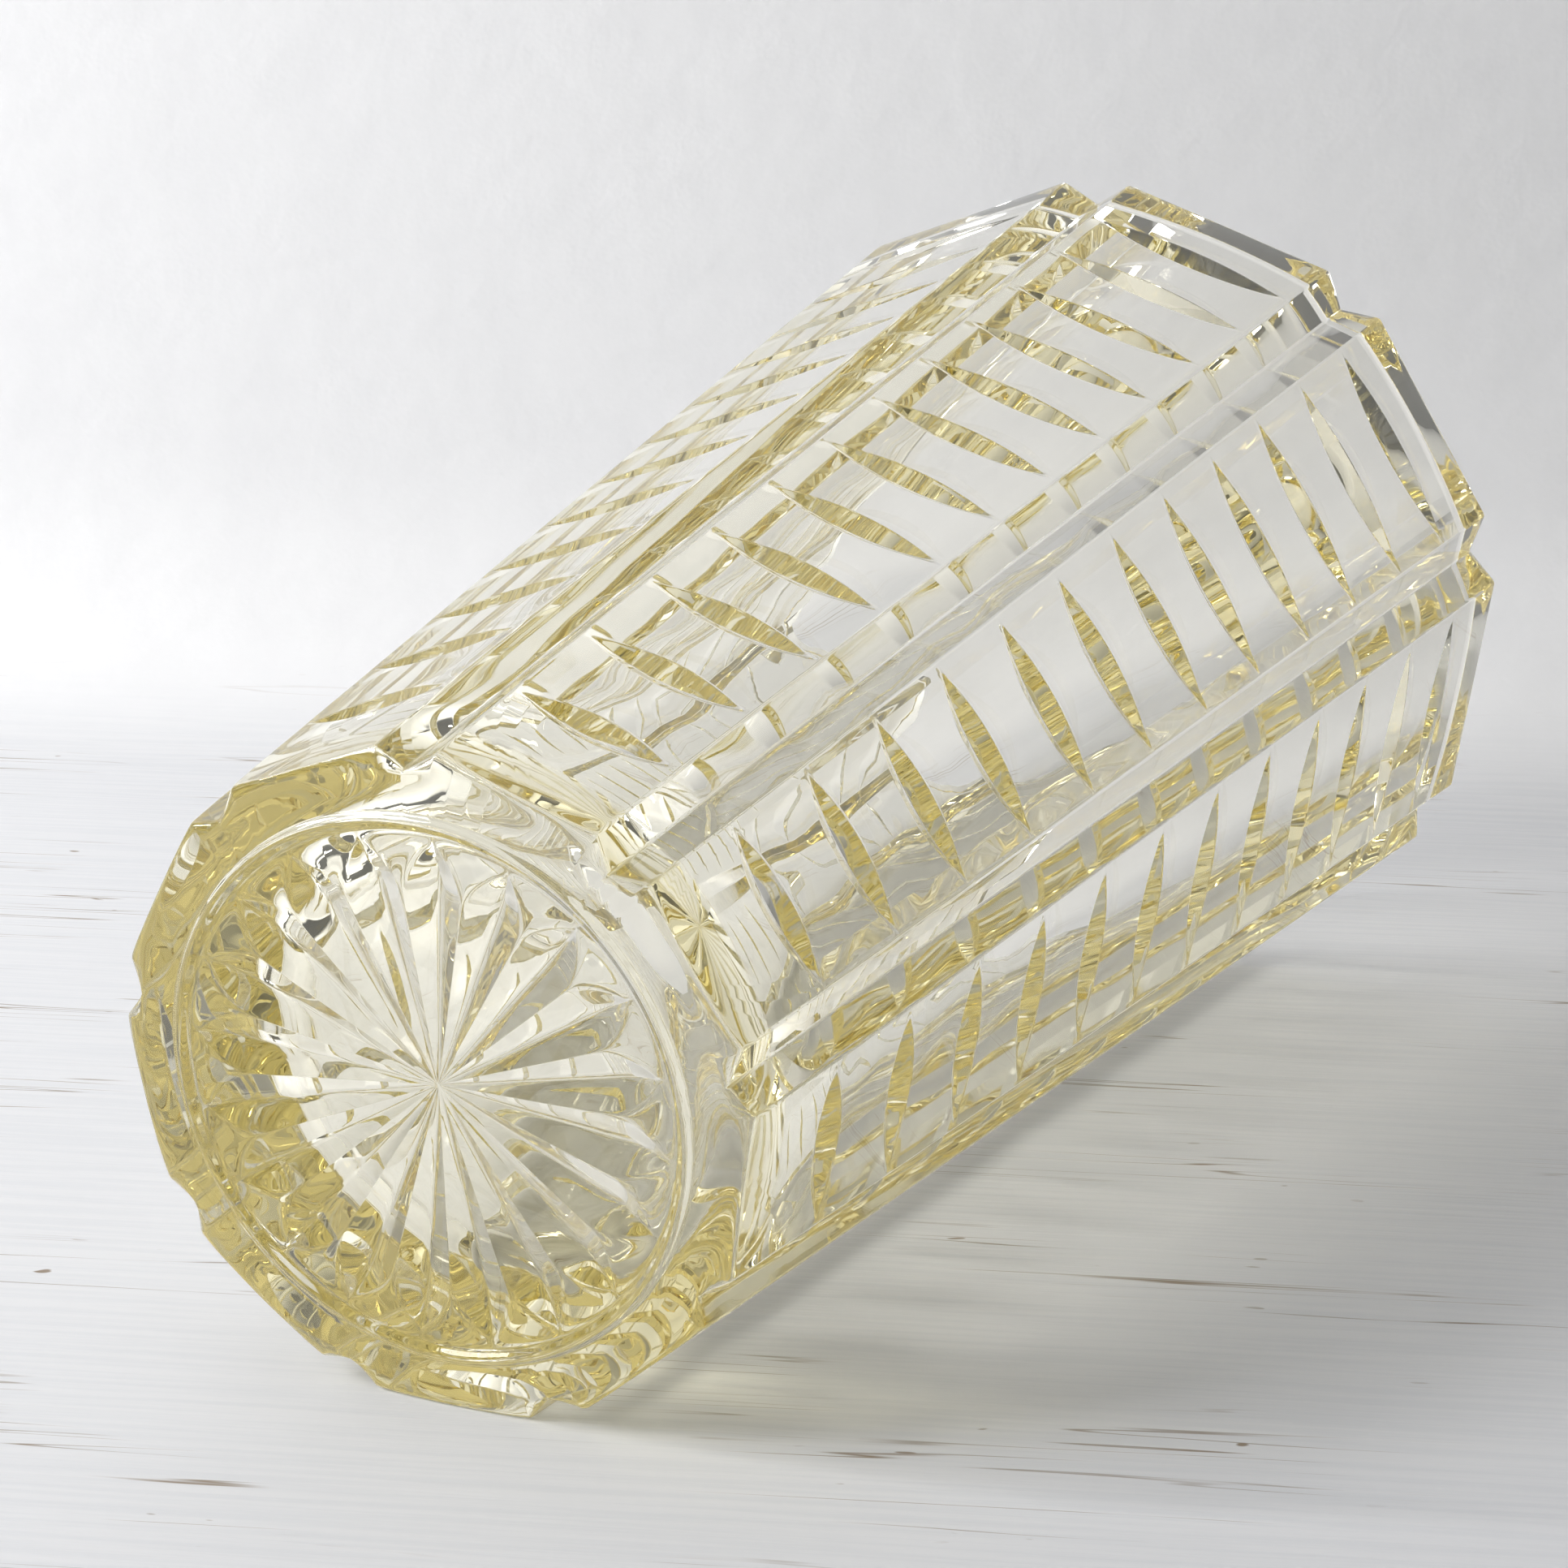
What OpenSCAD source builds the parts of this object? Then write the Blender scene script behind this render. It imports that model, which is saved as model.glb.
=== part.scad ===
// A tall flower vase of heavy pressed glass, all in one piece.
// Nine flat panels widen from the foot to the rim, with a V-shaped notch between
// each pair. Every panel carries a ladder of leaf-shaped cuts. The foot is a thin
// ring round a shallow recess with a many-rayed star cut in it.
// Upright, +Z up, the origin in the middle of the plane that the foot ring rests on.

/* [Overall] */
// Height from the foot ring to the rim (mm)
vase_height = 220; // [200:1:240]
// Radius to the middle of a panel at the foot (mm)
foot_apothem = 40; // [38:0.5:42]
// Radius to the middle of a panel at the rim (mm)
rim_apothem = 64; // [60:0.5:68]
// Bevel on both edges of the rim (mm)
rim_bevel = 0.7; // [0.3:0.1:1.2]

/* [Panels and notches] */
// Width of a flat panel at the foot (mm)
panel_width_foot = 20.7; // [19:0.1:22]
// Width of a flat panel at the rim (mm)
panel_width_rim = 35; // [33:0.5:37]
// Angle between the two faces of a notch (degrees)
notch_angle = 118; // [100:1:130]

/* [Leaf cuts] */
// Leaf cuts on each panel, one above the other
cut_rows = 12; // [8:1:12]
// Height of the lowest cut's middle (mm)
first_cut = 19.25; // [16:0.25:24]
// Clear glass from the highest cut's middle to the rim (mm)
clear_band = 18.15; // [14:0.05:24]
// Length of a cut as a share of the panel's width
cut_share = 0.93; // [0.8:0.01:0.95]
// Depth of the lowest cut (mm)
cut_depth_low = 1.5; // [1:0.05:1.7]
// Depth of the highest cut (mm)
cut_depth_high = 1.6; // [1:0.05:1.8]
// Slope of each side of a cut against the panel (degrees)
cut_slope = 28; // [24:1:32]

/* [Foot and star] */
// Radius to the middle of the foot ring (mm)
ring_radius = 33.3; // [32.5:0.1:34]
// Width of the foot ring (mm)
ring_width = 1.5; // [1.2:0.1:2.4]
// Height of the foot ring above the heel (mm)
ring_height = 0.7; // [0.5:0.1:1.2]
// Rays in the star
star_rays = 20; // [12:2:24]
// Radius of the star's tips (mm)
star_radius = 30.9; // [28:0.1:31]
// Radius out to which the rays meet side by side (mm)
star_knee = 24; // [20:0.5:26]
// Height of the star's middle above the foot plane (mm)
star_rise = 3.6; // [3:0.1:5]

/* [Inside] */
// Thickness of the wall at the rim, at the middle of a panel (mm)
rim_wall = 10; // [8:0.5:11]
// Height of the inside floor above the foot plane (mm)
floor_height = 20; // [14:1:26]
// Radius where the inside wall would meet the floor (mm)
floor_radius = 32; // [28:0.5:33]
// Rounding between the inside wall and the floor (mm)
floor_round = 9; // [4:1:14]

/* [Hidden] */
$fn = 96;
glass_tint = [0.93, 0.87, 0.68, 0.45];
panels = 9;
panel_step = 360 / panels;
// Turns the ring of panels so that one panel faces +Y
first_panel = 90 - 2 * panel_step;
over = 1;
lean = atan((rim_apothem - foot_apothem) / vase_height);

// The heel, between the ring and the panels
heel_reach = 7.6;
heel_rise = 2.6;
heel_steps = 10;
// 1 makes the heel's section an ellipse; less makes it fuller
heel_power = 2 / 3;
ring_edge = 0.3;
heel_start = ring_radius + ring_width / 2 + ring_edge;

// The recess inside the foot ring and the star
recess = ring_height + 0.1;
recess_slope = 0.6;
knee_rise = 0.69;
// A ray's width beyond the knee falls away in a curve, drawn here by one bend
bend_share = 0.5;
bend_width = 0.75;
round_steps = 10;

// The leaf cuts, each the mark of a V-edged wheel
cut_pitch = (vase_height - clear_band - first_cut) / (cut_rows - 1);
wheel_spare = 1;
wheel_turn = 1.5;

function mix(low, high, share) = low + (high - low) * share;
function at(r, angle, z) = [r * cos(angle), r * sin(angle), z];
function height_share(z) = z / vase_height;
function apothem(z) = mix(foot_apothem, rim_apothem, height_share(z));
function half_panel(z) = mix(panel_width_foot, panel_width_rim, height_share(z)) / 2;

// The 3 points of panel k on the level z: its 2 edges and the notch bottom after it
function edge_radius(a, h) = sqrt(a * a + h * h);
function notch_half_angle(a, h) = panel_step / 2 - atan(h / a);
function notch_radius(a, h) =
    let (r = edge_radius(a, h), t = notch_half_angle(a, h))
    r * cos(t) - r * sin(t) / tan(notch_angle / 2);
function panel_points(k, a, h, z) =
    let (mid = first_panel + k * panel_step, turn = atan(h / a))
    [
        at(edge_radius(a, h), mid - turn, z),
        at(edge_radius(a, h), mid + turn, z),
        at(notch_radius(a, h), mid + panel_step / 2, z)
    ];
function level_points(a, h, z) = [for (k = [0 : panels - 1]) each panel_points(k, a, h, z)];

// The panelled blank: three levels, the last one drawn in by the bevel
module panelled_blank() {
    count = 3 * panels;
    shoulder = vase_height - rim_bevel;
    points = concat(
        level_points(apothem(0), half_panel(0), 0),
        level_points(apothem(shoulder), half_panel(shoulder), shoulder),
        level_points(apothem(shoulder) - rim_bevel, half_panel(shoulder), vase_height)
    );
    sides = [
        for (level = [0, 1])
            for (i = [0 : count - 1])
                let (j = (i + 1) % count, low = level * count, high = low + count)
                [high + i, high + j, low + j, low + i]
    ];
    floor_face = [[for (i = [0 : count - 1]) i]];
    top_face = [[for (i = [0 : count - 1]) 3 * count - 1 - i]];
    polyhedron(points, concat(floor_face, sides, top_face), convexity = 4);
}

// The outline that the blank is kept within: foot ring, then the rounded heel
module heel_envelope() {
    ring_out = ring_radius + ring_width / 2;
    widest = 2 * rim_apothem;
    heel = [
        for (i = [0 : heel_steps])
            let (t = 90 * i / heel_steps)
            [
                heel_start + heel_reach * sin(t) ^ heel_power,
                ring_height + heel_rise * (1 - abs(cos(t)) ^ heel_power)
            ]
    ];
    ring = [[0, 0], [ring_out - ring_edge, 0], [ring_out, ring_edge]];
    rest = [[widest, widest], [widest, vase_height + over], [0, vase_height + over]];
    rotate_extrude() polygon(concat(ring, heel, rest));
}

// The inside: a plain cone with a rounded floor and a bevelled mouth
module cavity() {
    mouth = rim_apothem - rim_wall;
    tilt = atan((mouth - floor_radius) / (vase_height - floor_height));
    round_x = floor_radius + floor_round * tan(tilt) - floor_round / cos(tilt);
    corner = [
        for (i = [0 : round_steps])
            let (t = mix(-90, -tilt, i / round_steps))
            [round_x + floor_round * cos(t), floor_height + floor_round * (1 + sin(t))]
    ];
    lip = [
        [mouth - rim_bevel * tan(tilt), vase_height - rim_bevel],
        [mouth + rim_bevel, vase_height],
        [mouth + rim_bevel, vase_height + over]
    ];
    rotate_extrude()
        polygon(concat([[0, floor_height]], corner, lip, [[0, vase_height + over]]));
}

// The shallow recess inside the foot ring
module foot_recess() {
    inner = ring_radius - ring_width / 2;
    rotate_extrude()
        polygon([[0, -over], [inner, -over], [inner, 0], [inner - recess_slope, recess], [0, recess]]);
}

// The star: side by side V cuts out to the knee, where each narrows like a leaf to its tip
module star() {
    step = 360 / star_rays;
    rays = [0 : star_rays - 1];
    valley = mix(star_rise, recess, 1 - knee_rise);
    bend_radius = mix(star_knee, star_radius, bend_share);
    bend_turn = asin(bend_width * star_knee * sin(step / 2) / bend_radius);
    bend_valley = mix(recess, valley, bend_width);
    sunk = recess / 2;
    // The outline of one ray, from the ridge before it round to the ridge after it
    outline = [[bend_radius, -bend_turn], [star_radius, 0], [bend_radius, bend_turn], [star_knee, step / 2]];
    points = concat(
        [[0, 0, star_rise], [0, 0, sunk]],
        [for (k = rays) at(star_knee, k * step, valley)],
        [for (k = rays) at(bend_radius, k * step, bend_valley)],
        [for (k = rays) for (p = outline) at(p[0], k * step + p[1], recess)],
        [for (k = rays) for (p = outline) at(p[0], k * step + p[1], sunk)]
    );
    edge_points = 4 * star_rays;
    function knee(k) = 2 + k;
    function bend(k) = 2 + star_rays + k;
    function edge(k, i) = 2 + 2 * star_rays + (4 * k + i + edge_points) % edge_points;
    function low_edge(k, i) = edge(k, i) + edge_points;
    faces = [
        for (k = rays) each concat(
            [
                [0, edge(k, 3), knee(k)],
                [0, knee(k), edge(k, -1)],
                [knee(k), edge(k, 3), edge(k, 2)],
                [knee(k), edge(k, 2), bend(k)],
                [bend(k), edge(k, 2), edge(k, 1)],
                [bend(k), edge(k, 1), edge(k, 0)],
                [knee(k), bend(k), edge(k, 0)],
                [knee(k), edge(k, 0), edge(k, -1)]
            ],
            [for (i = [-1 : 2]) [edge(k, i), edge(k, i + 1), low_edge(k, i + 1), low_edge(k, i)]],
            [for (i = [-1 : 2]) [1, low_edge(k, i), low_edge(k, i + 1)]]
        )
    ];
    rotate([0, 0, first_panel]) polyhedron(points, faces, convexity = 10);
}

// The mark of one wheel: an arc of a V edge, its middle sunk into the panel
module leaf_cutter(length, depth) {
    wheel = (length * length / 4 + depth * depth) / (2 * depth);
    reach = depth + wheel_spare;
    half = reach / tan(cut_slope);
    sweep = acos((wheel - depth) / wheel) + wheel_turn;
    translate([wheel - depth, 0, 0])
        rotate([0, 0, 180 - sweep])
            rotate_extrude(angle = 2 * sweep)
                polygon([[wheel, 0], [wheel - reach, half], [wheel - reach, -half]]);
}

// One panel's ladder of cuts, from the foot up
module panel_cuts() {
    for (row = [0 : cut_rows - 1]) {
        z = first_cut + row * cut_pitch;
        depth = mix(cut_depth_low, cut_depth_high, row / (cut_rows - 1));
        translate([apothem(z), 0, z])
            rotate([0, lean, 0])
                leaf_cutter(2 * cut_share * half_panel(z), depth);
    }
}

module body() {
    color(glass_tint)
        difference() {
            intersection() {
                panelled_blank();
                heel_envelope();
            }
            cavity();
            foot_recess();
            star();
            for (k = [0 : panels - 1]) {
                rotate([0, 0, first_panel + k * panel_step]) panel_cuts();
            }
        }
}

body();
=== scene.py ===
import logging
import math
from dataclasses import dataclass, field
from enum import Enum

import bpy
import numpy as np
from mathutils import Matrix, Vector


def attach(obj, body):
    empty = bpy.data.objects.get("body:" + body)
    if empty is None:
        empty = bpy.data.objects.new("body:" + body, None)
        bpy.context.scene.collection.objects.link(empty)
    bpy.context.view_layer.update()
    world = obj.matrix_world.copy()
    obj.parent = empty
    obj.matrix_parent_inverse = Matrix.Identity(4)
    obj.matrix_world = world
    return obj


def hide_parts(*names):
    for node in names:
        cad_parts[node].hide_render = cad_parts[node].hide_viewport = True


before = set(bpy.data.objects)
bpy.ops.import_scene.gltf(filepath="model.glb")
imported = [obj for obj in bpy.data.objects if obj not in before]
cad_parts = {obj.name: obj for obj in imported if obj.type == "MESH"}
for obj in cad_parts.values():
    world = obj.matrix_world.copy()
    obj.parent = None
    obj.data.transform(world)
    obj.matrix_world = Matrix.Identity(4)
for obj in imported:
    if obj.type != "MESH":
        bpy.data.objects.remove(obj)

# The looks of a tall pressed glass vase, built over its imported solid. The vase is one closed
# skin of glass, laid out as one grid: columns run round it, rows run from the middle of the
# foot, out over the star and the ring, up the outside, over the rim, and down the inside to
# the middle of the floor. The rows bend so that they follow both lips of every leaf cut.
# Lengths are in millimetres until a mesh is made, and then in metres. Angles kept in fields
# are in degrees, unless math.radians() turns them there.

log = logging.getLogger("vase")
MM = 0.001
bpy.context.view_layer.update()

# Points on each rounded corner of the level section
ARC_POINTS = 4
# Rows of the grid that follow one leaf cut
CUT_ROWS = 9
# The unevenness of pressed glass: how many waves, the most lobes round the vase and the
# fastest change with height at pace 1, and how much weaker each lobe makes a wave
WAVE_COUNT = 14
WAVE_LOBES = 12
WAVE_RATE = 0.28
WAVE_FADE = 0.12
# A Mix node's sockets by number, because its colour and vector sockets share their names
COLOUR_A, COLOUR_B, COLOUR_OUT = 6, 7, 2
VECTOR_A, VECTOR_B, VECTOR_OUT = 4, 5, 1


class Lamp(Enum):
    """The lamps of the studio, by what each one does."""

    WINDOW = "window"
    SKY = "sky"
    SUN = "sun"


def smooth_min(a: np.ndarray, b: np.ndarray, blend: float) -> np.ndarray:
    """The smaller of two fields, with the crease between them rounded.

    Formula: half of (sum less the root of the squared difference plus four squared blends).

    Args:
        a: First field.
        b: Second field.
        blend: How far the rounding reaches, in the fields' own unit.

    Returns:
        The rounded lesser field.
    """
    return 0.5 * (a + b - np.sqrt((a - b) ** 2 + 4 * blend * blend))


def smooth_max(a: np.ndarray, b: np.ndarray, blend: float) -> np.ndarray:
    """The larger of two fields, with the crease rounded as in smooth_min()."""
    return -smooth_min(-a, -b, blend)


def ramp(x: np.ndarray, half: float) -> np.ndarray:
    """A ramp that is 0 below 0 and x above it, rounded by a parabola over -half to half.

    Args:
        x: Distance inside the edge, negative outside it.
        half: Half the width of the rounding.

    Returns:
        The rounded ramp.
    """
    bend = (x + half) ** 2 / (4 * half)
    return np.where(x <= -half, 0.0, np.where(x >= half, x, bend))


def waves(turn: np.ndarray, height: np.ndarray, size: float, seed: int,
          pace: float = 1.0) -> np.ndarray:
    """The slow unevenness that pressing leaves in glass.

    Formula: a sum of cosines of (whole turns times the angle, plus a rate times the height,
    plus a phase), each weaker as it gets finer.

    Args:
        turn: Angle round the vase at each point, in radians.
        height: Height of each point, in millimetres.
        size: Rough height of the unevenness, in millimetres.
        seed: Seed for the rates and phases.
        pace: How much finer than the slowest unevenness it is.

    Returns:
        The offset at each point, in millimetres.
    """
    dice = np.random.default_rng(seed)
    total = np.zeros(np.broadcast(turn, height).shape)
    for _ in range(WAVE_COUNT):
        lobes = dice.integers(1, int(WAVE_LOBES * pace) + 1)
        rate = dice.uniform(-WAVE_RATE, WAVE_RATE) * pace
        phase = dice.uniform(0, math.tau)
        fade = 1 + WAVE_FADE * lobes / pace
        total = total + np.cos(lobes * turn + rate * height + phase) / fade
    return size * total / math.sqrt(WAVE_COUNT / 4)


@dataclass
class Walls:
    """The nine-panelled outside and the round inside of the vase.

    The flat panels and the notches between them are straight from foot to rim, so every
    column is a straight line: a point that moves in proportion to the height.
    """

    height: float = 220.0
    panels: int = 9
    first_panel: float = 10.0
    apothem_foot: float = 40.0
    apothem_rim: float = 64.0
    half_foot: float = 10.35
    half_rim: float = 17.5
    notch_angle: float = 118.0
    edge_round: float = 0.8
    notch_round: float = 0.55
    panel_columns: int = 30
    rim_round: float = 1.5
    wall_rim: float = 10.0
    floor_height: float = 20.0
    floor_radius: float = 32.0
    floor_round: float = 9.0
    lip_rows: int = 5
    cone_rows: int = 50
    bend_rows: int = 10
    crowding: float = 0.4

    @property
    def step(self) -> float:
        """Angle from one panel to the next, in radians."""
        return math.tau / self.panels

    @property
    def lean(self) -> float:
        """Lean of a panel from upright, in radians."""
        return math.atan2(self.apothem_rim - self.apothem_foot, self.height)

    def half_width(self, z: np.ndarray) -> np.ndarray:
        """Half the width of a panel at a height."""
        return self.half_foot + (self.half_rim - self.half_foot) * z / self.height

    def apothem(self, z: np.ndarray) -> np.ndarray:
        """Distance from the axis to the middle of a panel at a height."""
        return self.apothem_foot + (self.apothem_rim - self.apothem_foot) * z / self.height

    def module(self, z: float) -> tuple[np.ndarray, np.ndarray, np.ndarray]:
        """One panel and the notch after it, as points of the level section at a height.

        Formula: the panel is a straight run at the apothem. Its edge, the notch bottom and
        the next edge are corners, each rounded by an arc that touches both its sides.

        Args:
            z: Height of the section.

        Returns:
            The points (columns, 2) in the panel's own axes (out, along), the place across
            the panel from -1 to 1 of each column, and which columns lie on the flat.
        """
        a, h = float(self.apothem(z)), float(self.half_width(z))
        turn = np.array([math.cos(self.step / 2), math.sin(self.step / 2)])
        spin = np.array([[math.cos(self.step), -math.sin(self.step)],
                         [math.sin(self.step), math.cos(self.step)]])
        edge = np.array([a, h])
        far = spin @ np.array([a, -h])
        mouth = 0.5 * np.linalg.norm(far - edge)
        bottom = turn * (np.dot(edge, turn) - mouth / math.tan(math.radians(self.notch_angle) / 2))
        down = (bottom - edge) / np.linalg.norm(bottom - edge)
        up = (far - bottom) / np.linalg.norm(far - bottom)
        along = np.array([0.0, 1.0])
        onward = spin @ along
        first = self.arc(edge, along, down, self.edge_round)
        middle = self.arc(bottom, down, up, self.notch_round)
        last = self.arc(far, up, onward, self.edge_round)
        across = np.linspace(-1, 1, self.panel_columns)
        flat = np.stack([np.full(across.size, a), across * first[0, 1]], axis=1)
        points = np.concatenate([flat, first[1:], middle, last[:-1]])
        extra = len(points) - across.size
        places = np.concatenate([across, np.full(extra, 2.0)])
        return points, places, places <= 1.0

    @staticmethod
    def arc(corner: np.ndarray, into: np.ndarray, out: np.ndarray, radius: float) -> np.ndarray:
        """Rounds a corner of the section by an arc.

        Formula: the tangent points lie one tangent length from the corner, and the points
        between them are at even angles about the arc's centre.

        Args:
            corner: The sharp corner.
            into: Unit direction along the side that comes in.
            out: Unit direction along the side that goes out.
            radius: Radius of the rounding.

        Returns:
            The arc's points, from the incoming side's tangent point to the outgoing one's.
        """
        bend = math.atan2(into[0] * out[1] - into[1] * out[0], float(np.dot(into, out)))
        reach = radius * math.tan(abs(bend) / 2)
        side = np.array([-into[1], into[0]]) * math.copysign(1.0, bend)
        centre = corner - reach * into + radius * side
        angles = np.linspace(0, bend, ARC_POINTS)
        start = -radius * side
        turned = [np.cos(angles) * start[0] - np.sin(angles) * start[1],
                  np.sin(angles) * start[0] + np.cos(angles) * start[1]]
        return centre + np.stack(turned, axis=1)

    def columns(self) -> dict[str, np.ndarray]:
        """Every column round the vase as a straight line.

        Returns:
            "low" and "gain" (columns, 2), so that a column's point at height z is low plus
            z times gain, "across" and "flat" as in module(), and "face", each column's
            panel direction in radians.
        """
        low, across, flat = self.module(0.0)
        high, _, _ = self.module(self.height)
        gain = (high - low) / self.height
        face = math.radians(self.first_panel) + self.step * np.arange(self.panels)
        c, s = np.cos(face)[:, None], np.sin(face)[:, None]

        def turned(xy: np.ndarray) -> np.ndarray:
            """One module's points turned to each panel in order."""
            x = c * xy[None, :, 0] - s * xy[None, :, 1]
            y = s * xy[None, :, 0] + c * xy[None, :, 1]
            return np.stack([x, y], axis=-1).reshape(-1, 2)

        return {
            "low": turned(low),
            "gain": turned(gain),
            "across": np.tile(across, self.panels),
            "flat": np.tile(flat, self.panels),
            "face": np.repeat(face, len(low)),
        }

    def inside_profile(self) -> tuple[np.ndarray, np.ndarray]:
        """The inside from the rim's inner edge down to the floor, as radius and height.

        Formula: a quarter arc for the lip, a straight cone whose rows crowd toward its foot,
        an arc that touches cone and floor, and a flat floor.

        Returns:
            Radii and heights, one of each for every row.
        """
        mouth = self.apothem_rim - self.wall_rim
        tilt = math.atan((mouth - self.floor_radius) / (self.height - self.floor_height))
        lip = np.linspace(math.pi / 2, math.pi - tilt, self.lip_rows)
        lip_r = mouth + self.rim_round + self.rim_round * np.cos(lip)
        lip_z = self.height - self.rim_round + self.rim_round * np.sin(lip)
        centre = self.floor_radius + self.floor_round * (math.tan(tilt) - 1 / math.cos(tilt))
        bend = np.linspace(-tilt, -math.pi / 2, self.bend_rows)
        bend_r = centre + self.floor_round * np.cos(bend)
        bend_z = self.floor_height + self.floor_round * (1 + np.sin(bend))
        even = np.linspace(0, 1, self.cone_rows + 2)[1:-1]
        share = even * (1 + self.crowding - self.crowding * even)
        cone_r = lip_r[-1] + (bend_r[0] - lip_r[-1]) * share
        cone_z = lip_z[-1] + (bend_z[0] - lip_z[-1]) * share
        floor_r = centre * np.array([0.8, 0.55, 0.3, 0.1])
        floor_z = np.full(floor_r.size, self.floor_height)
        return (np.concatenate([lip_r, cone_r, bend_r, floor_r]),
                np.concatenate([lip_z, cone_z, bend_z, floor_z]))


@dataclass
class LeafCuts:
    """The ladder of leaf-shaped cuts on each panel, each the mark of a V-edged wheel."""

    rows: int = 12
    first: float = 19.25
    pitch: float = 16.6
    share: float = 0.93
    depth_low: float = 1.5
    depth_high: float = 1.6
    slope: float = 28.0
    lip: float = 0.22
    narrowest: float = 0.7

    def wheel(self, half_length: np.ndarray, depth: np.ndarray) -> np.ndarray:
        """Radius of the wheel that leaves a mark of this half length and depth."""
        return (half_length ** 2 + depth ** 2) / (2 * depth)

    def half_width(self, u: np.ndarray, half_length: float, depth: float) -> np.ndarray:
        """Half the width of a cut at a place across the panel.

        Formula: the wheel's edge is a circle, so its depth at u is the root of (radius
        squared less u squared) less the height of its centre, and the width is that
        depth over the slope of the sides.

        Args:
            u: Distance across the panel from its middle.
            half_length: Half the length of the cut.
            depth: Depth in the middle.

        Returns:
            Half widths, negative beyond the tips.
        """
        wheel = self.wheel(half_length, depth)
        sunk = np.sqrt(np.maximum(wheel ** 2 - u ** 2, 0.0)) - (wheel - depth)
        return sunk / math.tan(math.radians(self.slope))

    def depth(self, s: np.ndarray, half: np.ndarray) -> np.ndarray:
        """Depth of the cut at a distance s up or down the panel from its middle line."""
        away = np.where(np.abs(s) < self.lip, s * s / (2 * self.lip) + self.lip / 2, np.abs(s))
        return math.tan(math.radians(self.slope)) * ramp(half - away, self.lip)

    def offsets(self, half: np.ndarray) -> np.ndarray:
        """The rows that follow one cut: both lips in three rows each, the bottom in three.

        Args:
            half: Half width of the cut at each column.

        Returns:
            Offsets (CUT_ROWS, columns) up the panel from the cut's middle line.
        """
        w = np.maximum(half, self.narrowest)
        e = self.lip
        return np.stack([-w - e, -w, e - w, 0 * w - e, 0 * w, 0 * w + e, w - e, w, w + e])


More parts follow.
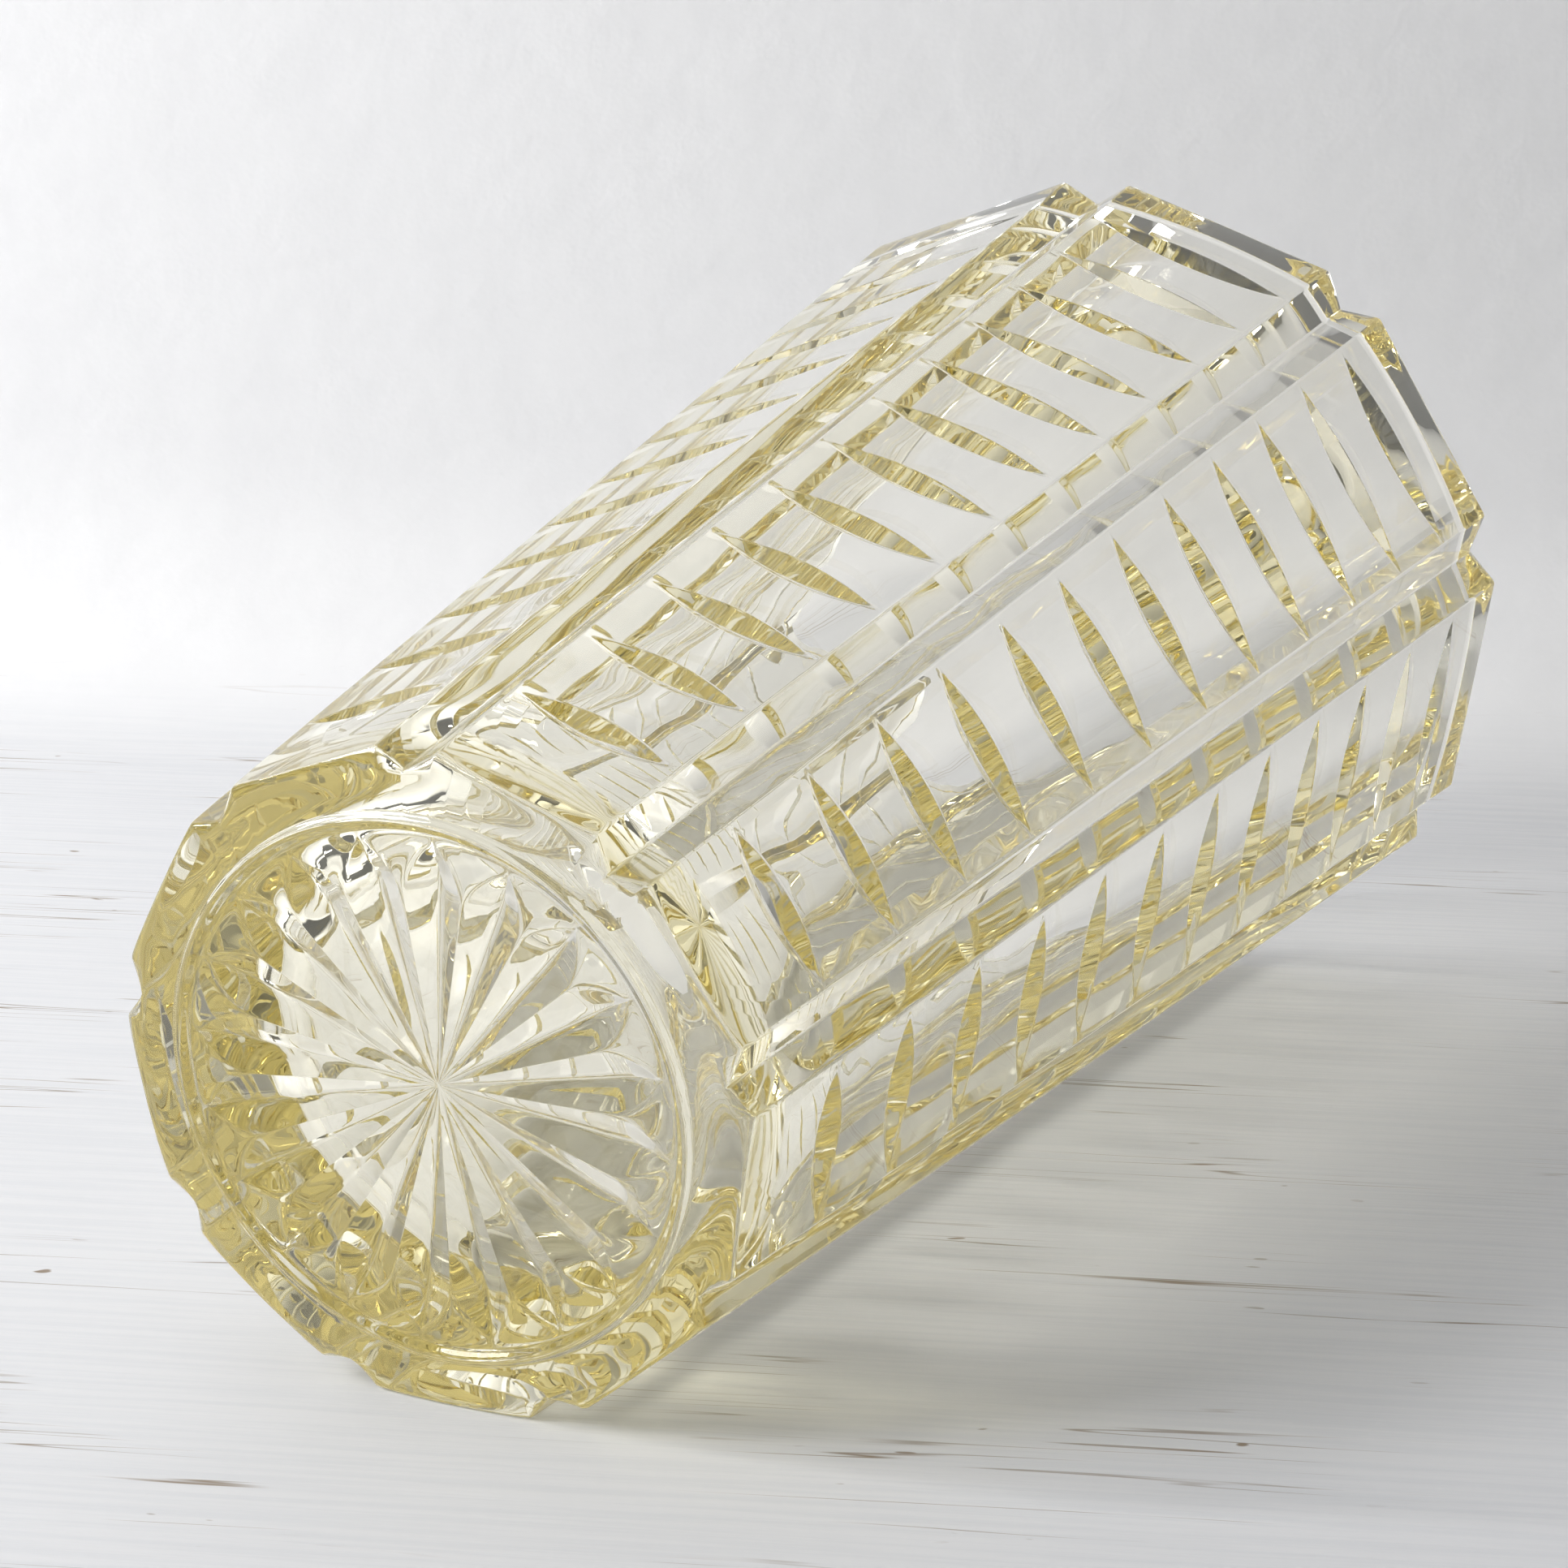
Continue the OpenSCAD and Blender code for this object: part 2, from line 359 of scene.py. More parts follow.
@dataclass
class Foot:
    """The rounded heel, the foot ring, and the star cut inside the ring."""

    ring_radius: float = 33.3
    ring_width: float = 1.5
    ring_height: float = 0.7
    ring_edge: float = 0.3
    ring_foot: float = 0.75
    heel_reach: float = 7.6
    heel_rise: float = 2.6
    heel_square: float = 3.0
    heel_rows: int = 16
    recess: float = 0.8
    rays: int = 20
    first_ray: float = 10.0
    tip: float = 30.9
    knee: float = 24.0
    rise: float = 3.6
    knee_rise: float = 0.69
    run_out: float = 2.0
    soft: float = 0.15
    valley_round: float = 0.18
    thinnest: float = 0.07
    rows_each: int = 13
    row_gap: float = 0.8

    def heel(self) -> tuple[np.ndarray, np.ndarray]:
        """The heel from the ring out to where it stands upright.

        Formula: a quarter of a squared-off ellipse, whose sine and cosine are raised to the
        power of two over heel_square.

        Returns:
            Radii and heights, one of each for every row.
        """
        t = np.linspace(0, math.pi / 2, self.heel_rows)
        start = self.ring_radius + self.ring_width / 2 + self.ring_edge
        power = 2 / self.heel_square
        return (start + self.heel_reach * np.sin(t) ** power,
                self.ring_height + self.heel_rise * (1 - np.abs(np.cos(t)) ** power))

    def ring(self) -> tuple[np.ndarray, np.ndarray]:
        """The foot ring from its inner foot out to the heel.

        Formula: half a cosine wave down to the foot plane, and half a wave up again.

        Returns:
            Radii and heights, one of each for every row.
        """
        mid, half = self.ring_radius, self.ring_width / 2
        inner = np.linspace(mid - half - self.ring_foot, mid, 6)
        outer = np.linspace(mid, mid + half + self.ring_edge, 5)[1:-1]
        fall = 0.5 + 0.5 * np.cos(math.pi * (inner - inner[0]) / (mid - inner[0]))
        climb = 0.5 - 0.5 * np.cos(math.pi * (outer - mid) / (half + self.ring_edge))
        return (np.concatenate([inner, outer]),
                np.concatenate([self.recess * fall, self.ring_height * climb]))

    def star_rows(self) -> np.ndarray:
        """Radii of the rows from the middle out over the star."""
        gap, count = self.row_gap, self.rows_each
        return np.concatenate([np.linspace(0.5, self.knee - 2 * gap, count),
                               np.linspace(self.knee - gap, self.tip + gap / 2, count)])

    def star_columns(self, count: int) -> tuple[np.ndarray, np.ndarray]:
        """Each column's place in its ray.

        Formula: half of a ray's columns lie inside the cut, close together at its bottom
        and its edges, and the other half lie on the flat beside it.

        Args:
            count: Number of columns round the foot.

        Returns:
            The middle angle of each column's ray, and its place: from -1 to 1 inside the
            cut, and from 1 to 3 on the flat after it.
        """
        inside = np.array([-0.92, -0.6, -0.3, -0.06, 0.06, 0.3, 0.6, 0.92])
        beside = np.linspace(1.06, 2.94, count // self.rays - inside.size)
        places = np.concatenate([inside, beside])
        middle = math.radians(self.first_ray) + math.tau / self.rays * np.arange(self.rays)
        return np.repeat(middle, places.size), np.tile(places, self.rays)

    def star(self, count: int) -> tuple[np.ndarray, np.ndarray, np.ndarray]:
        """The star as a grid of rows and columns.

        Formula: a ray's bottom falls in a straight run from the middle to the knee, and then
        in a curve that steepens to the tip. Its sides fall away from the bottom in
        proportion to the distance across, rounded at the bottom, and the flat of the recess
        stands wherever that is higher.

        Args:
            count: Number of columns round the foot.

        Returns:
            Radius, angle and height (rows, columns).
        """
        middle, place = self.star_columns(count)
        r = self.star_rows()[:, None]
        spacing = math.pi / self.rays
        knee_z = self.rise + (self.recess - self.rise) * (1 - self.knee_rise)
        run_in = self.rise + (knee_z - self.rise) * r / self.knee
        past = (r - self.knee) / (self.tip - self.knee)
        run_out = self.recess + (knee_z - self.recess) * (1 - np.maximum(past, 0) ** self.run_out)
        bottom = np.where(past < 0, run_in, run_out)
        fall = (knee_z - self.recess) / (self.knee * math.sin(spacing))
        reach = np.clip((bottom - self.recess) / (fall * r), 0.0, math.sin(spacing))
        edge = np.clip(np.arcsin(reach), self.thinnest * spacing, (1 - self.thinnest) * spacing)
        inside = place[None, :] * edge
        beside = edge + (place[None, :] - 1) * (spacing - edge)
        offset = np.where(place[None, :] <= 1, inside, beside)
        folded = np.where(offset > spacing, 2 * spacing - offset, np.abs(offset))
        across = np.sqrt((r * np.sin(folded)) ** 2 + self.valley_round ** 2) - self.valley_round
        z = smooth_max(bottom - fall * across, np.full_like(across, self.recess), self.soft)
        return np.broadcast_to(r, z.shape), middle[None, :] + offset, z


@dataclass(frozen=True)
class TintedGlass:
    """Clear pressed glass with a pale straw tint that deepens along the light's path.

    Light on its way to a lamp goes straight through the skin, most where it meets it
    square on and none past shade_gone, which lightens the shadow as bent light would.
    """

    ior: float = 1.52
    straw: tuple[float, float, float] = (0.84, 0.72, 0.05)
    strength: float = 7.0
    shade_straight: float = 0.95
    shade_glancing: float = 0.0
    shade_gone: float = 0.42
    haze_scale: float = 55.0
    haze_detail: float = 4.0
    haze_range: tuple[float, float] = (0.35, 0.75)
    dullest: float = 0.01

    def material(self) -> bpy.types.Material:
        """Builds the glass.

        Returns:
            A material of clear glass that is faintly dull in patches, with a tint that
            light takes up inside it.
        """
        mat = bpy.data.materials.new("straw_pressed_glass")
        mat.use_nodes = True
        nodes, links = mat.node_tree.nodes, mat.node_tree.links
        nodes.clear()
        out = nodes.new("ShaderNodeOutputMaterial")
        skin = nodes.new("ShaderNodeBsdfPrincipled")
        skin.inputs["Base Color"].default_value = (1, 1, 1, 1)
        skin.inputs["Transmission Weight"].default_value = 1.0
        skin.inputs["IOR"].default_value = self.ior
        coords = nodes.new("ShaderNodeTexCoord")
        haze = nodes.new("ShaderNodeTexNoise")
        haze.inputs["Scale"].default_value = self.haze_scale
        haze.inputs["Detail"].default_value = self.haze_detail
        gloss = nodes.new("ShaderNodeMapRange")
        gloss.inputs["From Min"].default_value = self.haze_range[0]
        gloss.inputs["From Max"].default_value = self.haze_range[1]
        gloss.inputs["To Min"].default_value = 0.0
        gloss.inputs["To Max"].default_value = self.dullest
        path = nodes.new("ShaderNodeLightPath")
        edge_on = nodes.new("ShaderNodeLayerWeight")
        edge_on.inputs["Blend"].default_value = 0.5
        pass_on = nodes.new("ShaderNodeMapRange")
        pass_on.inputs["To Min"].default_value = self.shade_straight
        pass_on.inputs["From Max"].default_value = self.shade_gone
        pass_on.inputs["To Max"].default_value = self.shade_glancing
        clear = nodes.new("ShaderNodeBsdfTransparent")
        mix = nodes.new("ShaderNodeMixShader")
        take = nodes.new("ShaderNodeVolumeAbsorption")
        take.inputs["Color"].default_value = (*self.straw, 1)
        take.inputs["Density"].default_value = self.strength
        links.new(coords.outputs["Object"], haze.inputs["Vector"])
        links.new(haze.outputs["Fac"], gloss.inputs["Value"])
        links.new(gloss.outputs["Result"], skin.inputs["Roughness"])
        links.new(edge_on.outputs["Facing"], pass_on.inputs["Value"])
        links.new(pass_on.outputs["Result"], clear.inputs["Color"])
        links.new(path.outputs["Is Shadow Ray"], mix.inputs["Fac"])
        links.new(skin.outputs["BSDF"], mix.inputs[1])
        links.new(clear.outputs["BSDF"], mix.inputs[2])
        links.new(mix.outputs["Shader"], out.inputs["Surface"])
        links.new(take.outputs["Volume"], out.inputs["Volume"])
        return mat


@dataclass(frozen=True)
class RoomPaint:
    """Old white paint on boards and on the wall behind them, seen only from its front.

    The surface has its own coordinates in metres: along the boards, and up over them to
    the wall. The boards turn into wall at seam.
    """

    boards: tuple[float, float, float] = (0.76, 0.765, 0.785)
    grain: tuple[float, float, float] = (0.72, 0.73, 0.755)
    crack: tuple[float, float, float] = (0.30, 0.24, 0.18)
    wall: tuple[float, float, float] = (0.895, 0.897, 0.91)
    shade: tuple[float, float, float] = (0.88, 0.882, 0.896)
    seam: float = 1.5
    seam_blend: float = 0.02
    fibre_scale: tuple[float, float, float] = (22.0, 700.0, 1.0)
    patch_scale: tuple[float, float, float] = (14.0, 26.0, 1.0)
    crack_scale: tuple[float, float, float] = (3.0, 90.0, 1.0)
    chip_scale: tuple[float, float, float] = (150.0, 420.0, 1.0)
    plaster_scale: tuple[float, float, float] = (60.0, 60.0, 1.0)
    crack_width: float = 0.007

    def material(self) -> bpy.types.Material:
        """Builds the paint.

        Returns:
            A matt material: brushed boards with fine cracks and chips, a faintly uneven
            wall, and a soft change between them. It is clear from behind.
        """
        mat = bpy.data.materials.new("old_white_paint")
        mat.use_nodes = True
        nodes, links = mat.node_tree.nodes, mat.node_tree.links
        nodes.clear()
        out = nodes.new("ShaderNodeOutputMaterial")
        paint = nodes.new("ShaderNodeBsdfPrincipled")
        paint.inputs["Roughness"].default_value = 0.6
        paint.inputs["Specular IOR Level"].default_value = 0.3
        coords = nodes.new("ShaderNodeTexCoord")

        def noise(scale: tuple[float, float, float], detail: float) -> bpy.types.NodeSocket:
            """A noise stretched over the surface's own coordinates.

            Args:
                scale: How fine it is along the boards, across them, and in depth.
                detail: How many finer layers it has.

            Returns:
                The noise's socket.
            """
            stretch = nodes.new("ShaderNodeMapping")
            stretch.inputs["Scale"].default_value = scale
            grains = nodes.new("ShaderNodeTexNoise")
            grains.inputs["Scale"].default_value = 1.0
            grains.inputs["Detail"].default_value = detail
            grains.inputs["Roughness"].default_value = 0.6
            links.new(coords.outputs["UV"], stretch.inputs["Vector"])
            links.new(stretch.outputs["Vector"], grains.inputs["Vector"])
            return grains.outputs["Fac"]

        def ranged(value: bpy.types.NodeSocket, low: float, high: float,
                   ends: tuple[float, float] = (0.0, 1.0)) -> bpy.types.NodeSocket:
            """A value mapped smoothly between two limits.

            Args:
                value: The socket to map.
                low: Value that gives the first end.
                high: Value that gives the second end.
                ends: The two results.

            Returns:
                The mapped value's socket.
            """
            node = nodes.new("ShaderNodeMapRange")
            node.interpolation_type = "SMOOTHSTEP"
            node.inputs["From Min"].default_value = low
            node.inputs["From Max"].default_value = high
            node.inputs["To Min"].default_value = ends[0]
            node.inputs["To Max"].default_value = ends[1]
            links.new(value, node.inputs["Value"])
            return node.outputs["Result"]

        def product(a: bpy.types.NodeSocket, b: bpy.types.NodeSocket) -> bpy.types.NodeSocket:
            """The product of two values.

            Args:
                a: First socket.
                b: Second socket.

            Returns:
                The product's socket.
            """
            node = nodes.new("ShaderNodeMath")
            node.operation = "MULTIPLY"
            links.new(a, node.inputs[0])
            links.new(b, node.inputs[1])
            return node.outputs["Value"]

        def blend(fac: bpy.types.NodeSocket, a: bpy.types.NodeSocket | tuple,
                  b: bpy.types.NodeSocket | tuple) -> bpy.types.NodeSocket:
            """A colour from a to b by a factor.

            Args:
                fac: Socket of the factor, 0 for a and 1 for b.
                a: First colour or socket.
                b: Second colour or socket.

            Returns:
                The blended colour's socket.
            """
            node = nodes.new("ShaderNodeMix")
            node.data_type = "RGBA"
            links.new(fac, node.inputs["Factor"])
            for socket, value in ((COLOUR_A, a), (COLOUR_B, b)):
                if isinstance(value, tuple):
                    node.inputs[socket].default_value = (*value, 1)
                else:
                    links.new(value, node.inputs[socket])
            return node.outputs[COLOUR_OUT]

        split = nodes.new("ShaderNodeSeparateXYZ")
        links.new(coords.outputs["UV"], split.inputs["Vector"])
        fibres = noise(self.fibre_scale, 5.0)
        patches = noise(self.patch_scale, 3.0)
        wood = blend(ranged(fibres, 0.36, 0.62), self.grain, self.boards)
        valley = nodes.new("ShaderNodeMath")
        valley.operation = "ABSOLUTE"
        centred = nodes.new("ShaderNodeMath")
        centred.operation = "SUBTRACT"
        centred.inputs[1].default_value = 0.5
        links.new(noise(self.crack_scale, 3.0), centred.inputs[0])
        links.new(centred.outputs["Value"], valley.inputs[0])
        line = product(ranged(valley.outputs["Value"], 0.0, self.crack_width, (1.0, 0.0)),
                       ranged(patches, 0.5, 0.62))
        chips = product(ranged(noise(self.chip_scale, 1.0), 0.74, 0.78),
                        ranged(patches, 0.5, 0.6))
        wood = blend(line, wood, self.crack)
        wood = blend(chips, wood, self.crack)
        plaster = noise(self.plaster_scale, 4.0)
        wall = blend(ranged(plaster, 0.35, 0.6), self.shade, self.wall)
        is_wall = ranged(split.outputs["Y"], self.seam - self.seam_blend,
                         self.seam + self.seam_blend)
        links.new(blend(is_wall, wood, wall), paint.inputs["Base Color"])
        bump = nodes.new("ShaderNodeBump")
        bump.inputs["Strength"].default_value = 0.25
        bump.inputs["Distance"].default_value = 0.0006
        links.new(fibres, bump.inputs["Height"])
        rough = nodes.new("ShaderNodeBump")
        rough.inputs["Strength"].default_value = 0.15
        rough.inputs["Distance"].default_value = 0.003
        links.new(plaster, rough.inputs["Height"])
        facing = nodes.new("ShaderNodeMix")
        facing.data_type = "VECTOR"
        links.new(is_wall, facing.inputs["Factor"])
        links.new(bump.outputs["Normal"], facing.inputs[VECTOR_A])
        links.new(rough.outputs["Normal"], facing.inputs[VECTOR_B])
        links.new(facing.outputs[VECTOR_OUT], paint.inputs["Normal"])
        geometry = nodes.new("ShaderNodeNewGeometry")
        clear = nodes.new("ShaderNodeBsdfTransparent")
        mix = nodes.new("ShaderNodeMixShader")
        links.new(geometry.outputs["Backfacing"], mix.inputs["Fac"])
        links.new(paint.outputs["BSDF"], mix.inputs[1])
        links.new(clear.outputs["BSDF"], mix.inputs[2])
        links.new(mix.outputs["Shader"], out.inputs["Surface"])
        return mat


@dataclass
class Vase:
    """The whole vase: one closed skin of glass.

    Slow unevenness runs all over the inside. Finer ripples lie low inside, where they fade
    with height over ripple_reach, and on the heel.
    """

    walls: Walls = field(default_factory=Walls)
    cuts: LeafCuts = field(default_factory=LeafCuts)
    foot: Foot = field(default_factory=Foot)
    glass: TintedGlass = field(default_factory=TintedGlass)
    edge_blend: float = 0.15
    unevenness: float = 0.06
    unevenness_seed: int = 5
    ripple: float = 0.07
    ripple_reach: float = 60.0
    ripple_pace: float = 2.2
    ripple_seed: int = 8
    heel_ripple: float = 0.028
    heel_pace: float = 2.6
    heel_seed: int = 11
    calm_rim: float = 4.0
    calm_fade: float = 20.0

    def outside_heights(self, cols: dict[str, np.ndarray]) -> tuple[np.ndarray, list[int]]:
        """Heights of the rows up the outside, bent round the lips of the cuts.

        Args:
            cols: The columns, from Walls.columns().

        Returns:
            Heights (rows, columns), and the first of each cut's own rows.
        """
        walls, cuts = self.walls, self.cuts
        upright = math.cos(walls.lean)
        heel_top = self.foot.ring_height + self.foot.heel_rise
        rows: list[np.ndarray] = []
        starts: list[int] = []
        low = np.full(cols["across"].size, heel_top)
        for i in range(cuts.rows):
            z = cuts.first + i * cuts.pitch
            offsets = cuts.offsets(self.leaf(i, cols)) * upright
            gap = np.array([0.25, 0.5, 0.75]) if i == 0 else np.array([1 / 3, 2 / 3])
            rows.extend(low + (z + offsets[0] - low) * g for g in gap)
            starts.append(len(rows))
            rows.extend(z + offsets)
            low = z + offsets[-1]
        top = walls.height - walls.rim_round
        rows.extend(low + (top - low) * g for g in (0.25, 0.5, 0.75, 1.0))
        return np.array(rows), starts

    def leaf(self, i: int, cols: dict[str, np.ndarray]) -> np.ndarray:
        """Half width of one row's cuts at every column.

        Args:
            i: Which row of cuts, from 0 at the foot.
            cols: The columns, from Walls.columns().

        Returns:
            Half widths, negative beyond the tips and off the flat of a panel.
        """
        half_panel = self.walls.half_width(self.cuts.first + i * self.cuts.pitch)
        share = i / (self.cuts.rows - 1)
        depth = self.cuts.depth_low + (self.cuts.depth_high - self.cuts.depth_low) * share
        u = np.where(cols["flat"], cols["across"], 1.0) * half_panel
        width = self.cuts.half_width(u, self.cuts.share * half_panel, depth)
        return np.where(cols["flat"], width, -1.0)

    def foot_part(self, cols: dict[str, np.ndarray]) -> np.ndarray:
        """The star and the foot ring.

        Formula: the columns gather in the star's rays, and from row to row across the ring
        each swings over to its place in the panels.

        Args:
            cols: The columns, from Walls.columns().

        Returns:
            Points (rows, columns, 3).
        """
        count = cols["across"].size
        star_r, star_turn, star_z = self.foot.star(count)
        ring_r, ring_z = self.foot.ring()
        _, panel_turn = self.on_columns(cols, np.full((1, count), self.foot.ring_height))
        swing = np.angle(np.exp(1j * (star_turn[-1:] - panel_turn)))
        to_go = np.array([1.0, 1.0, 0.8, 0.6, 0.45, 0.3, 0.15, 0.05, 0.0])[:, None]
        ring = self.polar(ring_r[:, None], panel_turn + to_go * swing, ring_z[:, None])
        return np.concatenate([self.polar(star_r, star_turn, star_z), ring])

    def heel_part(self, cols: dict[str, np.ndarray]) -> np.ndarray:
        """The heel.

        Formula: the lesser of the heel's radius and the panels' own, with ripples up and
        down that fade out toward its two ends.

        Args:
            cols: The columns, from Walls.columns().

        Returns:
            Points (rows, columns, 3).
        """
        heel_r, heel_z = (column[:, None] for column in self.foot.heel())
        wall_r, turn = self.on_columns(cols, np.repeat(heel_z, cols["across"].size, axis=1))
        share = np.linspace(0, 1, len(heel_z))[:, None]
        rough = self.heel_ripple * np.sin(math.pi * share) ** 2
        rippled = heel_z + rough * waves(turn, heel_r, 1.0, self.heel_seed, self.heel_pace)
        return self.polar(smooth_min(wall_r, heel_r, self.edge_blend), turn, rippled)

    def outside_part(self, cols: dict[str, np.ndarray]) -> np.ndarray:
        """The panels and notches, with the leaf cuts.

        Formula: each point stands on its column, less the depth of the cut there, taken
        square to the panel.

        Args:
            cols: The columns, from Walls.columns().

        Returns:
            Points (rows, columns, 3).
        """
        walls, cuts = self.walls, self.cuts
        z, starts = self.outside_heights(cols)
        wall_r, turn = self.on_columns(cols, z)
        sunk = np.zeros_like(z)
        for i, start in enumerate(starts):
            rows = slice(start, start + CUT_ROWS)
            up_panel = (z[rows] - (cuts.first + i * cuts.pitch)) / math.cos(walls.lean)
            sunk[rows] = cuts.depth(up_panel, self.leaf(i, cols)[None, :])
        level = sunk * math.cos(walls.lean)
        return np.stack([wall_r * np.cos(turn) - level * np.cos(cols["face"]),
                         wall_r * np.sin(turn) - level * np.sin(cols["face"]),
                         z + sunk * math.sin(walls.lean)], axis=-1)

    def rim_part(self, cols: dict[str, np.ndarray]) -> np.ndarray:
        """The rim: the arc of its outer edge in three rows, and its flat top in two.

        Formula: a quarter circle from the columns inward, then thirds of the way from its
        end to the inside's first row.

        Args:
            cols: The columns, from Walls.columns().

        Returns:
            Points (rows, columns, 3).
        """
        walls = self.walls
        shoulder = walls.height - walls.rim_round
        wall_r, turn = self.on_columns(cols, np.full((1, cols["across"].size), shoulder))
        bend = np.radians([30.0, 60.0, 90.0])[:, None]
        edge_r = wall_r - walls.rim_round * (1 - np.cos(bend))
        edge_z = shoulder + walls.rim_round * np.sin(bend)
        inner = walls.inside_profile()[0][0]
        flat_r = edge_r[-1:] + (inner - edge_r[-1:]) * np.array([[0.33], [0.67]])
        flat_z = np.full((len(flat_r), 1), walls.height)
        return self.polar(np.concatenate([edge_r, flat_r]), turn,
                          np.concatenate([edge_z, flat_z]))

    def inside_part(self, cols: dict[str, np.ndarray]) -> np.ndarray:
        """The inside.

        Formula: the profile turned about the axis, moved in and out by the slow unevenness
        and the ripples, which fade out toward the rim and the middle of the floor.

        Args:
            cols: The columns, from Walls.columns().

        Returns:
            Points (rows, columns, 3).
        """
        walls = self.walls
        r, z = (column[:, None] for column in walls.inside_profile())
        shoulder = walls.height - walls.rim_round
        _, turn = self.on_columns(cols, np.full((1, cols["across"].size), shoulder))
        fade = (np.clip((walls.height - self.calm_rim - z) / self.calm_fade, 0, 1)
                * np.clip(r / 12 - 0.2, 0, 1))
        low = np.exp(-np.maximum(z - walls.floor_height, 0) / self.ripple_reach)
        slow = waves(turn, z, self.unevenness, self.unevenness_seed)
        fine = waves(turn, z, self.ripple, self.ripple_seed, self.ripple_pace)
        return self.polar(r + fade * (slow + low * fine), turn, z)

    def skin(self) -> np.ndarray:
        """Works out the whole grid of the glass.

        Returns:
            Points (rows, columns, 3) from the middle of the foot to the middle of the
            floor inside.
        """
        cols = self.walls.columns()
        return np.concatenate([self.foot_part(cols), self.heel_part(cols),
                               self.outside_part(cols), self.rim_part(cols),
                               self.inside_part(cols)])

    @staticmethod
    def on_columns(cols: dict[str, np.ndarray], z: np.ndarray) -> tuple[np.ndarray, np.ndarray]:
        """Radius and angle of every column at the heights z (rows, columns)."""
        xy = cols["low"] + z[..., None] * cols["gain"]
        return np.hypot(xy[..., 0], xy[..., 1]), np.arctan2(xy[..., 1], xy[..., 0])

    @staticmethod
    def polar(r: np.ndarray, turn: np.ndarray, z: np.ndarray) -> np.ndarray:
        """Points from radius, angle and height, each one value or one for every point."""
        return np.stack(np.broadcast_arrays(r * np.cos(turn), r * np.sin(turn), z), axis=-1)

    def build(self) -> bpy.types.Object:
        """Makes the closed glass mesh.

        Returns:
            The vase, with its place in its mesh and normals weighted by area.
        """
        grid = self.skin()
        rows, count, _ = grid.shape
        points = np.concatenate([grid.reshape(-1, 3),
                                 [[0, 0, self.foot.rise], [0, 0, self.walls.floor_height]]])
        i, j = np.meshgrid(np.arange(rows - 1), np.arange(count), indexing="ij")
        k = (j + 1) % count
        quads = np.stack([i * count + j, i * count + k, (i + 1) * count + k,
                          (i + 1) * count + j], axis=-1).reshape(-1, 4)
        col = np.arange(count)
        nxt = (col + 1) % count
        last = (rows - 1) * count
        foot_fan = np.stack([np.full(count, rows * count), nxt, col], axis=-1)
        floor_fan = np.stack([np.full(count, rows * count + 1), last + col, last + nxt], axis=-1)
        return self.mesh("vase_glass", points * MM, quads, np.concatenate([foot_fan, floor_fan]))

    def mesh(self, name: str, points: np.ndarray, quads: np.ndarray,
             fans: np.ndarray) -> bpy.types.Object:
        """Puts the grid and its two fans into a mesh.

        Args:
            name: Name of the piece.
            points: Points (n, 3) in metres.
            quads: Four corners of each cell of the grid.
            fans: Three corners of each triangle of the fans.

        Returns:
            The new object, linked to the scene.
        """
        mesh = bpy.data.meshes.new(name)
        mesh.from_pydata(points.tolist(), [], quads.tolist() + fans.tolist())
        mesh.validate()
        obj = bpy.data.objects.new(name, mesh)
        bpy.context.scene.collection.objects.link(obj)
        mesh.polygons.foreach_set("use_smooth", np.ones(len(mesh.polygons), dtype=bool))
        normals = np.zeros_like(points)
        for tri in (quads[:, [0, 1, 2]], quads[:, [0, 2, 3]], fans):
            a, b, c = (points[tri[:, n]] for n in range(3))
            facet = np.cross(b - a, c - a)
            for n in range(3):
                np.add.at(normals, tri[:, n], facet)
        normals /= np.maximum(np.linalg.norm(normals, axis=1, keepdims=True), 1e-12)
        mesh.normals_split_custom_set_from_vertices(normals.tolist())
        mesh.update()
        return obj

    def dress(self, obj: bpy.types.Object) -> None:
        """Gives the vase its glass and ties it to its CAD node.

        Args:
            obj: The vase, from build().
        """
        obj.data.materials.append(self.glass.material())
        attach(obj, "root")
        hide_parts("body")


